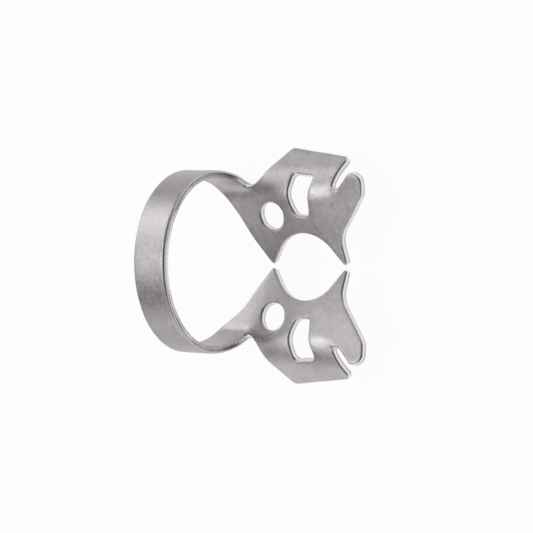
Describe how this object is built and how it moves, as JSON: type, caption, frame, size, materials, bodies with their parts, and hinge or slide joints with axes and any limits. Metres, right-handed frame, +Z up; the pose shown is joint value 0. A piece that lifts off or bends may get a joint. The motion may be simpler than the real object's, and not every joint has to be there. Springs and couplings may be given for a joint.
{
  "type": "rubber dam clamp",
  "caption": "One-piece spring steel clamp: an arched bow joins two sloping jaws with pointed prongs, forceps holes, crescent slots, turned-down wings and forward lobes.",
  "frame": {"origin": "centre of the bounding box at the surface the clamp rests on", "axes": "+X from the bow towards the front lobes, +Y from the middle of the grip out to one jaw, +Z up"},
  "size_m": [0.022, 0.0236, 0.013],
  "materials": {
    "spring_steel": "tumbled satin stainless spring steel"
  },
  "bodies": {
    "root": {"clamp": "spring_steel"}
  },
  "joints": []
}
